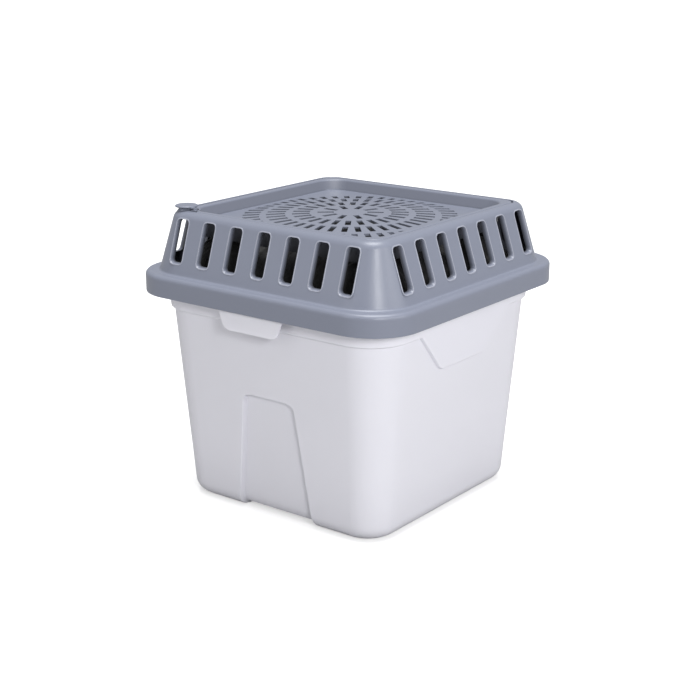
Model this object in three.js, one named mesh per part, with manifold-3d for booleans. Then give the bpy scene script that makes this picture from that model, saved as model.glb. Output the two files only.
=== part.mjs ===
// Large moisture absorber: a square tapered tub, a vented lid with a drop-in
// grille tray, a tethered pour plug, and a strainer basket that holds the
// desiccant bag over the brine sump. Millimetres, +Z up, origin at the middle
// of the tub's underside, -Y at the face with the front grip tab.

import * as THREE from "three";
import { mergeVertices } from "three/addons/utils/BufferGeometryUtils.js";
import Module from "manifold-3d";

const wasm = await Module();
wasm.setup();

// Driving dimensions. "half" is half of a square's width over its flats and
// "corner" is its corner radius in plan.
const cornerSteps = 6;
const wall = 2.4;
const restGap = 0.3;

const tub = {
  fillet: 13,
  base: { half: 108.2, corner: 27 },
  mouth: { z: 189, half: 121.7, corner: 36 },
  band: { z: 174.6, proud: 3 },
  flange: { top: 204.9, thickness: 2.4, half: 136.9, corner: 40, lipBottom: 188.2, lipThickness: 2.2 },
  tab: { bottom: 172.5, topHalf: 36, bottomHalf: 28, round: 5 },
  relief: { bottom: 139, topHalf: 68, bottomHalf: 33, round: 6 },
  recess: { top: 110.5, topHalf: 27, bottomHalf: 42, round: 7, depth: 5, rise: 4, reach: 91 },
};

const lid = {
  skirt: { bottom: 189, top: 207.7, half: 140, corner: 43, wall: 2.4, edge: 4 },
  foot: { half: 130.6, corner: 41 },
  shoulder: { z: 253.8, half: 115.16, corner: 20.56, radius: 8.5 },
  seat: { bottom: 254.7, top: 256.4, half: 102, corner: 22 },
  seam: { half: 106.5, corner: 12 },
};

const slot = {
  perFace: 7,
  pitch: 30.4,
  width: 12.2,
  bottom: 218,
  top: 253.6,
  round: 3.8,
  depth: 4.8,
  rim: 1.5,
};

const tray = {
  rim: { bottom: 256.7, top: 259.6, half: 106.1, corner: 11.6, edge: 1.2 },
  skirt: { bottom: 237, half: 97.5, corner: 18, topHalf: 101.5, topCorner: 21.5 },
  dish: { half: 94.8, corner: 17, topHalf: 99.6, topCorner: 20 },
  crown: { z: 253.4, fall: 0.0004, flatFrom: 95, thickness: 2 },
  grilleHalf: 89,
  grilleCorner: 16,
};

// Rings of radial slots in the tray's floor
const rings = [
  { inner: 14.7, outer: 29, count: 10 },
  { inner: 36, outer: 51.4, count: 26 },
  { inner: 57.7, outer: 74.3, count: 38 },
  { inner: 80.3, outer: 95, count: 50 },
];
const ringSlotWidth = 5;

const spout = { x: -101, y: -101, neck: 6.5, bore: 5, top: 261.4, land: 9.9, trayClearance: 10.5 };
const plug = {
  disc: 10,
  bottom: 261.8,
  top: 263.7,
  stemTop: 3.9,
  stemBottom: 3,
  stemZ: 257,
};

// The plug's moulded tether: a post on the lid's land, and the tongue that hinges on top of it
const tether = { x: -88.6, y: -104.1, width: 3.8, thickness: 1.3, postTop: 262.2, footHalf: 2.2 };

const basket = {
  rim: { half: 120.6, corner: 35, thickness: 2 },
  body: { bottom: 70, bottomHalf: 100, bottomCorner: 22, topHalf: 116.8, topCorner: 33 },
  wall: 1.8,
  drain: { columns: 2, rows: 11, length: 74, width: 5, pitch: 15 },
};

const bag = [
  { z: 72.8, half: 88, corner: 24 },
  { z: 80, half: 96, corner: 24 },
  { z: 125, half: 102.5, corner: 27 },
  { z: 176, half: 110, corner: 30 },
  { z: 205, half: 112, corner: 32 },
  { z: 220, half: 107, corner: 31 },
  { z: 230, half: 98, corner: 30 },
  { z: 236.5, half: 82, corner: 30 },
];

// ---- Shape helpers ----

function solidOf(geometry) {
  geometry.deleteAttribute("normal");
  geometry.deleteAttribute("uv");
  const merged = mergeVertices(geometry, 1e-4);
  return new wasm.Manifold(
    new wasm.Mesh({
      numProp: 3,
      vertProperties: new Float32Array(merged.attributes.position.array),
      triVerts: new Uint32Array(merged.index.array),
    }),
  );
}

function geometryOf(solid) {
  const mesh = solid.getMesh();
  const geometry = new THREE.BufferGeometry();
  geometry.setAttribute("position", new THREE.BufferAttribute(mesh.vertProperties, 3));
  geometry.setIndex(new THREE.BufferAttribute(mesh.triVerts, 1));
  geometry.computeVertexNormals();
  return geometry;
}

// A solid through rounded-square sections, each { z, half, corner }, from the lowest up
function loft(sections) {
  const points = [];
  const loopSize = 4 * (cornerSteps + 1);
  for (const { z, half, corner } of sections) {
    for (let side = 0; side < 4; side++) {
      const middle = (side + 0.5) * (Math.PI / 2);
      const centreX = Math.sign(Math.cos(middle)) * (half - corner);
      const centreY = Math.sign(Math.sin(middle)) * (half - corner);
      for (let step = 0; step <= cornerSteps; step++) {
        const angle = (side + step / cornerSteps) * (Math.PI / 2);
        points.push(centreX + corner * Math.cos(angle), centreY + corner * Math.sin(angle), z);
      }
    }
  }
  const faces = [];
  for (let ring = 0; ring < sections.length - 1; ring++) {
    for (let step = 0; step < loopSize; step++) {
      const next = (step + 1) % loopSize;
      const low = ring * loopSize;
      const high = low + loopSize;
      faces.push(low + step, low + next, high + next, low + step, high + next, high + step);
    }
  }
  const last = (sections.length - 1) * loopSize;
  for (let step = 1; step < loopSize - 1; step++) {
    faces.push(0, step + 1, step);
    faces.push(last, last + step, last + step + 1);
  }
  const geometry = new THREE.BufferGeometry();
  geometry.setAttribute("position", new THREE.Float32BufferAttribute(points, 3));
  geometry.setIndex(faces);
  return solidOf(geometry);
}

// The section of a straight taper between two sections, at height z, grown by "grow"
function taper(low, high, z, grow = 0) {
  const t = (z - low.z) / (high.z - low.z);
  return {
    z,
    half: THREE.MathUtils.lerp(low.half, high.half, t) + grow,
    corner: THREE.MathUtils.lerp(low.corner, high.corner, t) + grow,
  };
}

// Sections of a round that leaves a wall at "start", where the wall leans in by "lean", and ends level
function roundOver(start, radius, steps, lean = 0) {
  const sections = [];
  for (let step = 1; step <= steps; step++) {
    const angle = THREE.MathUtils.lerp(lean, Math.PI / 2, step / steps);
    const inset = radius * (Math.cos(lean) - Math.cos(angle));
    sections.push({
      z: start.z + radius * (Math.sin(angle) - Math.sin(lean)),
      half: start.half - inset,
      corner: start.corner - inset,
    });
  }
  return sections;
}

function revolve(profile, segments, x = 0, y = 0) {
  const points = profile.map(([radius, z]) => new THREE.Vector2(radius, z));
  const geometry = new THREE.LatheGeometry(points, segments);
  geometry.rotateX(Math.PI / 2);
  geometry.translate(x, y, 0);
  return solidOf(geometry);
}

// An upright round bar centred on the pour spout
function spoutBar(radius, low, high) {
  return revolve([[0, low], [radius, low], [radius, high], [0, high]], 24, spout.x, spout.y);
}

function block(x0, x1, y0, y1, z0, z1) {
  const geometry = new THREE.BoxGeometry(x1 - x0, y1 - y0, z1 - z0);
  geometry.translate((x0 + x1) / 2, (y0 + y1) / 2, (z0 + z1) / 2);
  return solidOf(geometry);
}

// A quadrilateral standing on edge, symmetric about x = 0, with its named corners rounded
function trapezoid(bottomHalf, topHalf, bottom, top, roundBottom, roundTop) {
  const corners = [
    { x: -bottomHalf, y: bottom, round: roundBottom },
    { x: bottomHalf, y: bottom, round: roundBottom },
    { x: topHalf, y: top, round: roundTop },
    { x: -topHalf, y: top, round: roundTop },
  ];
  const shape = new THREE.Shape();
  corners.forEach((corner, index) => {
    const at = new THREE.Vector2(corner.x, corner.y);
    const toward = (other) =>
      new THREE.Vector2(other.x, other.y).sub(at).setLength(corner.round).add(at);
    const start = toward(corners[(index + 3) % 4]);
    const end = toward(corners[(index + 1) % 4]);
    if (index === 0) shape.moveTo(start.x, start.y);
    else shape.lineTo(start.x, start.y);
    if (corner.round > 0) shape.quadraticCurveTo(at.x, at.y, end.x, end.y);
  });
  return shape;
}

// A shape drawn in X and Z, given a thickness from y = near to y = far, and turned about Z
function upright(shape, near, far, turn = 0, curveSegments = 3) {
  const geometry = new THREE.ExtrudeGeometry(shape, {
    depth: far - near,
    bevelEnabled: false,
    curveSegments,
  });
  geometry.rotateX(Math.PI / 2);
  geometry.translate(0, far, 0);
  geometry.rotateZ(turn);
  return solidOf(geometry);
}

function turned(solid, angle) {
  return solid.rotate([0, 0, THREE.MathUtils.radToDeg(angle)]);
}

function unite(solids) {
  return solids.reduce((whole, solid) => whole.add(solid));
}

// ---- Tub ----

const tubBase = { z: tub.fillet, ...tub.base };
const tubWall = (z, grow = 0) => taper(tubBase, tub.mouth, z, grow);

function tubBody(grow, bottomZ, topZ) {
  const filletLow = [];
  const radius = tub.fillet;
  for (let step = 0; step < 4; step++) {
    const angle = (1 - step / 4) * (Math.PI / 2);
    const inset = radius * (1 - Math.cos(angle));
    filletLow.push({
      z: Math.max(radius * (1 - Math.sin(angle)), bottomZ),
      half: tub.base.half - inset + grow,
      corner: tub.base.corner - 0.6 * inset + grow,
    });
  }
  const sections = filletLow.filter((section, index) => index === 0 || section.z > bottomZ);
  return loft([...sections, tubWall(radius, grow), tubWall(topZ, grow)]);
}

function makeTub() {
  const { band, flange, tab, relief, recess } = tub;
  const flangeBottom = flange.top - flange.thickness;
  const turns = [0, Math.PI];
  const sideTurns = [Math.PI / 2, -Math.PI / 2];

  // Outside: wall, proud band, side reliefs, flange, lip and grip tabs
  const bandBlock = loft([tubWall(band.z, band.proud), tubWall(flangeBottom + 0.2, band.proud)]);
  const reliefRing = loft([tubWall(relief.bottom - 5, band.proud), tubWall(band.z + 5, band.proud)]);
  const { bottomHalf, topHalf, bottom, round } = relief;
  const reliefShape = trapezoid(bottomHalf, topHalf, bottom, band.z + 2, round, 0);
  const reliefs = sideTurns.map((turn) => upright(reliefShape, -140, -60, turn).intersect(reliefRing));
  const lipSection = { half: flange.half, corner: flange.corner };
  const lipInner = { half: flange.half - flange.lipThickness, corner: flange.corner - flange.lipThickness };
  const lip = loft([
    { z: flange.lipBottom, ...lipSection },
    { z: flange.top, ...lipSection },
  ]).subtract(
    loft([
      { z: flange.lipBottom - 1, ...lipInner },
      { z: flangeBottom, ...lipInner },
    ]),
  );
  const tabShape = trapezoid(tab.bottomHalf, tab.topHalf, tab.bottom, flange.lipBottom + 2, tab.round, 0);
  const tabs = turns.map((turn) => upright(tabShape, -flange.half, -lipInner.half, turn));
  const outside = unite([tubBody(0, 0, band.z + 5), bandBlock, ...reliefs, lip, ...tabs]);

  // Foot recesses in the front and back, cut inwards to a parallel inset wall
  const recessShape = (grow) =>
    trapezoid(recess.bottomHalf + grow, recess.topHalf + grow, -10, recess.top + grow, 0, recess.round);
  const recessCut = (grow) => {
    const inset = tubBody(-recess.depth - grow, -11, band.z);
    const cuts = turns.map((turn) => upright(recessShape(grow), -140, -70, turn).subtract(inset));
    return unite(cuts);
  };

  // The recesses' toes stop short of the floor
  const toeCut = (grow) => {
    const half = recess.bottomHalf + grow;
    const inner = recess.reach - grow;
    const rise = recess.rise + grow;
    return unite(turns.map((turn) => turned(block(-half, half, -130, -inner, -1, rise), turn)));
  };

  // Inside: cavity with the same wall everywhere, stepped out above the basket seat
  const seatZ = band.z + wall;
  const lowCavity = tubBody(-wall, wall, seatZ + 1).subtract(recessCut(wall)).subtract(toeCut(wall));
  const highCavity = loft([tubWall(seatZ, band.proud - wall), tubWall(flange.top + 1, band.proud - wall)]);
  return outside.subtract(recessCut(0)).subtract(toeCut(0)).subtract(lowCavity).subtract(highCavity);
}

// ---- Lid frame ----

const skirtTop = { z: lid.skirt.top - lid.skirt.edge, half: lid.skirt.half, corner: lid.skirt.corner };
const lidFoot = { z: lid.skirt.top, ...lid.foot };
const lidWall = (z, grow = 0) => taper(lidFoot, lid.shoulder, z, grow);

function lidShell(grow, top) {
  const sections = [lidWall(lid.skirt.top - 3, grow), lidWall(lid.shoulder.z, grow)];
  return loft([...sections, ...top]);
}

// One rounded slot shape for every place in a face
function slotShape(centre, grow) {
  const halfWidth = slot.width / 2 + grow;
  const shape = trapezoid(
    halfWidth,
    halfWidth,
    slot.bottom - grow,
    slot.top + grow,
    slot.round + grow,
    slot.round + grow,
  );
  const points = shape.getPoints(2).map((point) => new THREE.Vector2(point.x + centre, point.y));
  return new THREE.Shape(points);
}

function slotPrisms(grow) {
  const prisms = [];
  for (let face = 0; face < 4; face++) {
    for (let index = 0; index < slot.perFace; index++) {
      const centre = (index - (slot.perFace - 1) / 2) * slot.pitch;
      prisms.push(upright(slotShape(centre, grow), -136, -105, (face * Math.PI) / 2));
    }
  }
  return unite(prisms);
}

function makeLidFrame() {
  const { skirt, shoulder, seat, seam } = lid;
  const lean = Math.atan((lid.foot.half - shoulder.half) / (shoulder.z - skirt.top));
  const shoulderTop = roundOver(shoulder, shoulder.radius, 3, lean);
  const outerWall = lidShell(0, shoulderTop);
  const skirtBlock = loft([
    { z: skirt.bottom, half: skirt.half, corner: skirt.corner },
    skirtTop,
    ...roundOver(skirtTop, skirt.edge, 2),
  ]);
  const skirtInner = { half: skirt.half - skirt.wall, corner: skirt.corner - skirt.wall };
  const skirtCavity = loft([
    { z: skirt.bottom - 1, ...skirtInner },
    { z: skirt.top - wall, ...skirtInner },
  ]);
  const wallCavity = loft([
    lidWall(skirt.top - wall - 1, -wall),
    lidWall(seat.bottom, -wall),
  ]);

  // Collars stand inwards round the slots
  const collarZone = outerWall.subtract(loft([lidWall(200, -slot.depth), lidWall(262, -slot.depth)]));
  const collars = slotPrisms(slot.rim).intersect(collarZone);

  // The land in one corner carries the pour spout and the foot of the plug's strap
  const landDisc = spoutBar(spout.land, seat.bottom, 262);
  const landBar = block(spout.x, -86, -112, -102.1, seat.bottom, 262);
  const land = landDisc.add(landBar).intersect(outerWall);
  const seatOpening = loft([
    { z: seat.bottom - 1, half: seat.half, corner: seat.corner },
    { z: seat.top + 1, half: seat.half, corner: seat.corner },
  ]);
  const seamRecess = loft([
    { z: seat.top, half: seam.half, corner: seam.corner },
    { z: 262, half: seam.half, corner: seam.corner },
  ]);
  const neckProfile = [
    [0, seat.bottom],
    [spout.neck + 1.4, seat.bottom],
    [spout.neck + 1.4, 258.4],
    [spout.neck, 260.4],
    [spout.neck, spout.top],
    [0, spout.top],
  ];
  const neck = revolve(neckProfile, 20, spout.x, spout.y);
  const bore = spoutBar(spout.bore, 245, 265);

  const shell = outerWall.add(skirtBlock).subtract(skirtCavity).subtract(wallCavity);
  const framed = shell.subtract(seatOpening.add(seamRecess)).add(unite([land, neck, collars]));
  return framed.subtract(slotPrisms(0)).subtract(bore);
}

// ---- Grille tray ----

function crownHeight(radius) {
  const { z, fall, flatFrom } = tray.crown;
  return z - fall * Math.min(radius, flatFrom) ** 2;
}

function radialSlots() {
  const cuts = rings.map(({ inner, outer, count }) => {
    const ring = [];
    for (let index = 0; index < count; index++) {
      const bar = new THREE.BoxGeometry(outer - inner, ringSlotWidth, 12);
      bar.translate((inner + outer) / 2, 0, 250);
      bar.rotateZ((index / count) * Math.PI * 2);
      ring.push(solidOf(bar));
    }
    return unite(ring);
  });
  const field = loft([
    { z: 240, half: tray.grilleHalf, corner: tray.grilleCorner },
    { z: 262, half: tray.grilleHalf, corner: tray.grilleCorner },
  ]);
  return unite(cuts).intersect(field);
}

function makeGrilleTray() {
  const { rim, skirt, dish, crown } = tray;
  const rimBlock = loft([
    { z: rim.bottom, half: rim.half, corner: rim.corner },
    { z: rim.top - rim.edge, half: rim.half, corner: rim.corner },
    { z: rim.top, half: rim.half - rim.edge, corner: rim.corner - rim.edge },
  ]);
  const skirtLow = { z: skirt.bottom, half: skirt.half, corner: skirt.corner };
  const skirtHigh = { z: rim.bottom + 0.5, half: skirt.topHalf, corner: skirt.topCorner };
  const skirtBlock = loft([skirtLow, skirtHigh]);

  // The floor is a shallow crown that ends level at the wall
  const floorRadii = [0, 33, 65, crown.flatFrom, 150];
  const above = floorRadii.map((radius) => [radius, crownHeight(radius)]).reverse();
  const below = floorRadii.map((radius) => [radius, crownHeight(radius) - crown.thickness]);
  const floor = revolve([...below, ...above], 16).intersect(skirtBlock);
  const edgeZ = crownHeight(crown.flatFrom);
  const dishHollow = loft([
    { z: edgeZ - crown.thickness / 2, half: dish.half - 0.6, corner: dish.corner },
    { z: edgeZ + 1.4, half: dish.half, corner: dish.corner },
    { z: rim.top - rim.edge, half: dish.topHalf, corner: dish.topCorner },
    { z: rim.top + 1, half: dish.topHalf + 1.2, corner: dish.topCorner + 1.2 },
  ]);
  const underside = loft([
    taper(skirtLow, skirtHigh, skirt.bottom - 1, -2),
    taper(skirtLow, skirtHigh, edgeZ - crown.thickness / 2, -2),
  ]);

  // A scallop round the pour spout and its strap lets the tray lift past the plug
  const scallop = spoutBar(spout.trayClearance, 230, 265);
  const scallopBar = spoutBar(spout.trayClearance + 1.6, skirt.bottom, rim.top - 0.4);
  const scallopWall = scallopBar.intersect(skirtBlock.add(rimBlock));
  const strapNotch = block(-112, -85.6, -112, -101.7, 250, 265);

  const shell = rimBlock.add(skirtBlock).subtract(dishHollow).subtract(underside);
  const floored = shell.add(floor).subtract(radialSlots());
  return floored.add(scallopWall).subtract(scallop).subtract(strapNotch);
}

// ---- Pour plug ----

function makePourPlug() {
  const { disc, bottom, top, stemTop, stemBottom, stemZ } = plug;
  const profile = [
    [0, stemZ],
    [stemBottom, stemZ],
    [stemTop, bottom - 1],
    [stemTop, bottom],
    [disc - 0.7, bottom],
    [disc, bottom + 0.7],
    [disc - 0.3, top - 0.3],
    [disc - 0.9, top],
    [0, top],
  ];
  const { x, y, width, thickness } = tether;
  const tongue = block(spout.x + 6, x - 0.2, y - width / 2, y + width / 2, bottom, bottom + thickness);
  return revolve(profile, 28, spout.x, spout.y).add(tongue);
}

function makePlugTether() {
  const { x, y, width, thickness, postTop, footHalf } = tether;
  const floor = tray.rim.top + restGap;
  const foot = block(x - footHalf, x + footHalf, y - width / 2, y + width / 2, floor, floor + 0.8);
  const post = block(x + 0.2, x + 0.2 + thickness, y - width / 2, y + width / 2, floor, postTop);
  return foot.add(post);
}

// ---- Strainer basket ----

const basketSeat = tub.band.z + wall + restGap;
const basketLow = { z: basket.body.bottom, half: basket.body.bottomHalf, corner: basket.body.bottomCorner };
const basketHigh = { z: basketSeat + 0.5, half: basket.body.topHalf, corner: basket.body.topCorner };

function makeStrainerBasket() {
  const { rim, drain } = basket;
  const outer = loft([basketLow, basketHigh]);
  const collar = loft([
    { z: basketSeat, half: rim.half, corner: rim.corner },
    { z: basketSeat + rim.thickness, half: rim.half, corner: rim.corner },
  ]);
  const floorTop = basketLow.z + basket.wall;
  const hollow = loft([
    taper(basketLow, basketHigh, floorTop, -basket.wall),
    taper(basketLow, basketHigh, basketSeat + rim.thickness + 1, -basket.wall),
  ]);
  const drains = [];
  for (let column = 0; column < drain.columns; column++) {
    const centreX = (column - (drain.columns - 1) / 2) * (drain.length + 8);
    for (let row = 0; row < drain.rows; row++) {
      const centreY = (row - (drain.rows - 1) / 2) * drain.pitch;
      const halfLength = drain.length / 2;
      const halfWidth = drain.width / 2;
      drains.push(
        block(centreX - halfLength, centreX + halfLength, centreY - halfWidth, centreY + halfWidth, 65, 76),
      );
    }
  }
  return outer.add(collar).subtract(hollow).subtract(unite(drains));
}

// ---- Assembly ----

const lidGrey = { color: 0x7f8696, roughness: 0.42, metalness: 0 };
const tubWhite = { color: 0xe2e3e6, roughness: 0.45, metalness: 0 };
const insideBlack = { color: 0x1b1b1d, roughness: 0.6, metalness: 0 };
const bagBlack = { color: 0x121214, roughness: 0.75, metalness: 0 };

function piece(name, solid, finish) {
  const mesh = new THREE.Mesh(geometryOf(solid), new THREE.MeshStandardMaterial(finish));
  mesh.name = name;
  return mesh;
}

const object = new THREE.Group();
object.add(
  piece("tub", makeTub(), tubWhite),
  piece("lid_frame", makeLidFrame(), lidGrey),
  piece("grille_tray", makeGrilleTray(), lidGrey),
  piece("pour_plug", makePourPlug(), lidGrey),
  piece("plug_tether", makePlugTether(), lidGrey),
  piece("strainer_basket", makeStrainerBasket(), insideBlack),
  piece("desiccant_bag", loft(bag), bagBlack),
);

export default object;
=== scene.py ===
import math

import bmesh
import bpy
from mathutils import Matrix, Vector, noise


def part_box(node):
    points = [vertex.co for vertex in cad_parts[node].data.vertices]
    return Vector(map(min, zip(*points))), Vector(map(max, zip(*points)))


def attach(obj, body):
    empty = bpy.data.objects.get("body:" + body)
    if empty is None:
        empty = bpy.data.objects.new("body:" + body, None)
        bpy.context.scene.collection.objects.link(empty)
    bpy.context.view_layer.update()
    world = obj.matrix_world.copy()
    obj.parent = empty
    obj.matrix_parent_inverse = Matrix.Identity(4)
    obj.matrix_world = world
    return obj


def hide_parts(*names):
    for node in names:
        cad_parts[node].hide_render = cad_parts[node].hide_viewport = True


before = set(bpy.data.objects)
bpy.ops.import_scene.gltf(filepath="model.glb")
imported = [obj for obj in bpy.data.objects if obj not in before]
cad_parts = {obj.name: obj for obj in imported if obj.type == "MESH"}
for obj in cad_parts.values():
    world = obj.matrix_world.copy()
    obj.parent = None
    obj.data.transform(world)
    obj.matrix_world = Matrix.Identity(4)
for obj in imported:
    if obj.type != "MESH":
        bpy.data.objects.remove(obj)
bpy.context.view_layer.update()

scene = bpy.context.scene
mm = 0.001

# Sizes below are millimetres. "half" is half of a square's width and "corner" its corner radius in plan.

viewpoint = {
    "position": (747.7, -980.5, 495.0),
    "turn": 37.35,       # degrees round the object
    "drop": 16.62,       # degrees below level
    "lens": 73.28,
    "sensor": 36.0,
}


def placeCamera():
    data = bpy.data.cameras.new("studioCamera")
    data.lens = viewpoint["lens"]
    data.sensor_width = viewpoint["sensor"]
    data.clip_end = 60.0
    camera = bpy.data.objects.new("studioCamera", data)
    camera.location = Vector(viewpoint["position"]) * mm
    camera.rotation_euler = (
        math.radians(90 - viewpoint["drop"]), 0, math.radians(viewpoint["turn"]))
    scene.collection.objects.link(camera)
    scene.camera = camera


studio = {
    "world": (1.0, 1.0, 1.0),
    "worldStrength": 0.40,
    "overhead": (3.7, 35.0),     # strength, and degrees across: a wide soft sheet of light
    "floorSize": 60.0,
    "lights": [
        # name, position, aim, size, watts
        ("keyRight", (2.2, 0.1, 0.9), (0.1, 0, 0.15), 1.2, 13.5),
        ("fillLeft", (-0.7, -2.3, 1.0), (0, 0, 0.15), 1.4, 7),
        ("cornerStrip", (1.3, -1.0, 0.78), (0.1, -0.1, 0.2), 0.34, 13),
    ],
}


def lightStudio():
    world = bpy.data.worlds.new("studioWorld")
    world.use_nodes = True
    sky = world.node_tree.nodes["Background"]
    sky.inputs["Color"].default_value = (*studio["world"], 1)
    sky.inputs["Strength"].default_value = studio["worldStrength"]
    scene.world = world
    scene.view_settings.view_transform = "Standard"
    for name, position, aim, size, watts in studio["lights"]:
        data = bpy.data.lights.new(name, "AREA")
        data.shape = "DISK"
        data.size = size
        data.energy = watts
        lamp = bpy.data.objects.new(name, data)
        lamp.location = position
        lamp.rotation_euler = (Vector(aim) - Vector(position)).to_track_quat("-Z", "Y").to_euler()
        scene.collection.objects.link(lamp)
    data = bpy.data.lights.new("overhead", "SUN")
    data.energy, width = studio["overhead"]
    data.angle = math.radians(width)
    scene.collection.objects.link(bpy.data.objects.new("overhead", data))


class Wire:
    # a node's output that takes part in sums
    def __init__(self, net, socket):
        self.net = net
        self.socket = socket

    def sum(self, operation, first, second):
        return self.net.add("ShaderNodeMath", {"operation": operation}, {0: first, 1: second})

    def __add__(self, other): return self.sum("ADD", self, other)
    def __radd__(self, other): return self.sum("ADD", other, self)
    def __sub__(self, other): return self.sum("SUBTRACT", self, other)
    def __rsub__(self, other): return self.sum("SUBTRACT", other, self)
    def __mul__(self, other): return self.sum("MULTIPLY", self, other)
    def __rmul__(self, other): return self.sum("MULTIPLY", other, self)
    def __truediv__(self, other): return self.sum("DIVIDE", self, other)
    def __rtruediv__(self, other): return self.sum("DIVIDE", other, self)


class Net:
    # a node tree, for a material or for geometry
    def __init__(self, tree):
        self.tree = tree

    def add(self, kind, settings=None, sockets=None, output=0):
        node = self.tree.nodes.new(kind)
        for name, value in (settings or {}).items():
            setattr(node, name, value)
        for key, value in (sockets or {}).items():
            for item in value if isinstance(value, list) else [value]:
                if isinstance(item, Wire):
                    self.tree.links.new(item.socket, node.inputs[key])
                else:
                    node.inputs[key].default_value = item
        return Wire(self, node.outputs[output]) if len(node.outputs) else node


def startMaterial(name):
    material = bpy.data.materials.new(name)
    material.use_nodes = True
    material.node_tree.nodes.clear()
    return material, Net(material.node_tree)


def endMaterial(net, sockets):
    shader = net.add("ShaderNodeBsdfPrincipled", {}, sockets)
    net.add("ShaderNodeOutputMaterial", {}, {"Surface": shader})


def mixColour(net, factor, first, second):
    return net.add("ShaderNodeMix", {"data_type": "RGBA"}, {0: factor, 6: first, 7: second}, 2)


def tintWhere(net, attribute, colour, tint):
    # blends towards a tint by an amount that the piece's points carry
    amount = net.add("ShaderNodeAttribute", {
        "attribute_type": "GEOMETRY", "attribute_name": attribute}, {}, "Fac")
    return mixColour(net, amount, colour, (*tint, 1))


def noiseOn(net, place, scale, detail=3.0, rough=0.5):
    return net.add("ShaderNodeTexNoise", {}, {
        "Vector": place, "Scale": scale, "Detail": detail, "Roughness": rough})


lidPlastic = {
    "colour": (0.174, 0.189, 0.240, 1),
    "deep": (0.166, 0.180, 0.230, 1),
    # painted shade for the lid's inside and seam, and the tray's wall, slots and underside
    "inside": (0.045, 0.048, 0.060),
    # painted highlight for the ridges round the slots
    "paintedHighlight": (0.270, 0.284, 0.340),
    "roughness": 0.36,
    "grain": 2600.0,
    "cloud": 9.0,
    "bump": 0.05,
}


def makeLidPlastic():
    material, net = startMaterial("lidPlastic")
    place = net.add("ShaderNodeTexCoord", {}, {}, 3)
    cloud = noiseOn(net, place, lidPlastic["cloud"], 4.0)
    grain = noiseOn(net, place, lidPlastic["grain"], 2.0)
    scuffs = noiseOn(net, place, 70.0, 5.0, 0.7)
    colour = mixColour(net, cloud, lidPlastic["deep"], lidPlastic["colour"])
    # painted, not lit: a painted highlight on the ridges round the slots, and painted shade on the inside
    # where studio light leaks in
    colour = tintWhere(net, "rubbed", colour, lidPlastic["paintedHighlight"])
    colour = tintWhere(net, "deep", colour, lidPlastic["inside"])
    bump = net.add("ShaderNodeBump", {}, {
        "Strength": lidPlastic["bump"], "Distance": 0.0002, "Height": grain})
    endMaterial(net, {
        "Base Color": colour,
        "Roughness": lidPlastic["roughness"] + 0.10 * scuffs - 0.05 * cloud,
        "Normal": bump,
        "IOR": 1.49,
    })
    return material


tubPlastic = {
    "colour": (0.672, 0.669, 0.730, 1),
    "deep": (0.650, 0.647, 0.708, 1),
    "roughness": 0.34,
    "grain": 1800.0,
    "cloud": 6.0,
    "bump": 0.05,
    "glow": 0.18,
    "glowDepth": (0.012, 0.012, 0.013),
}


def makeTubPlastic():
    material, net = startMaterial("tubPlastic")
    place = net.add("ShaderNodeTexCoord", {}, {}, 3)
    cloud = noiseOn(net, place, tubPlastic["cloud"], 3.0)
    grain = noiseOn(net, place, tubPlastic["grain"], 2.0)
    flow = noiseOn(net, place, 45.0, 4.0, 0.6)
    colour = mixColour(net, cloud, tubPlastic["deep"], tubPlastic["colour"])
    bump = net.add("ShaderNodeBump", {}, {
        "Strength": tubPlastic["bump"], "Distance": 0.0002, "Height": grain})
    endMaterial(net, {
        "Base Color": colour,
        "Roughness": tubPlastic["roughness"] + 0.12 * flow,
        "Normal": bump,
        "IOR": 1.49,
        "Subsurface Weight": tubPlastic["glow"],
        "Subsurface Radius": tubPlastic["glowDepth"],
        "Subsurface Scale": 1.0,
    })
    return material


basketPlastic = {"colour": (0.016, 0.016, 0.017, 1), "deep": (0.011, 0.011, 0.012, 1), "roughness": 0.42}


def makeBasketPlastic():
    material, net = startMaterial("basketPlastic")
    place = net.add("ShaderNodeTexCoord", {}, {}, 3)
    cloud = noiseOn(net, place, 14.0, 4.0)
    grain = noiseOn(net, place, 2200.0, 2.0)
    bump = net.add("ShaderNodeBump", {}, {"Strength": 0.08, "Distance": 0.0002, "Height": grain})
    endMaterial(net, {
        "Base Color": mixColour(net, cloud, basketPlastic["deep"], basketPlastic["colour"]),
        "Roughness": basketPlastic["roughness"] + 0.12 * cloud,
        "Normal": bump,
    })
    return material


bagFabric = {
    "colour": (0.020, 0.020, 0.022, 1),
    "deep": (0.009, 0.009, 0.010, 1),
    "roughness": 0.50,
    "fibre": 900.0,
    "emboss": 420.0,
}


def makeBagFabric():
    material, net = startMaterial("bagFabric")
    place = net.add("ShaderNodeTexCoord", {}, {}, 3)
    fibre = noiseOn(net, place, bagFabric["fibre"], 5.0, 0.7)
    dots = net.add("ShaderNodeTexVoronoi", {"feature": "F1"}, {
        "Vector": place, "Scale": bagFabric["emboss"], "Randomness": 0.1})
    cloud = noiseOn(net, place, 26.0, 3.0)
    height = 0.6 * dots + 0.5 * fibre
    bump = net.add("ShaderNodeBump", {}, {"Strength": 0.35, "Distance": 0.0004, "Height": height})
    endMaterial(net, {
        "Base Color": mixColour(net, fibre, bagFabric["deep"], bagFabric["colour"]),
        "Roughness": bagFabric["roughness"] + 0.2 * cloud,
        "Normal": bump,
        "Sheen Weight": 0.15,
        "Sheen Roughness": 0.4,
    })
    return material


lidGrey = makeLidPlastic()
tubWhite = makeTubPlastic()
basketBlack = makeBasketPlastic()
bagBlack = makeBagFabric()
print("materials ready")


def between(low, high, share):
    return low + (high - low) * share


def evenFlats(reach, count):
    return [(between(-reach, reach, index / count), 0.0) for index in range(count + 1)]


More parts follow.
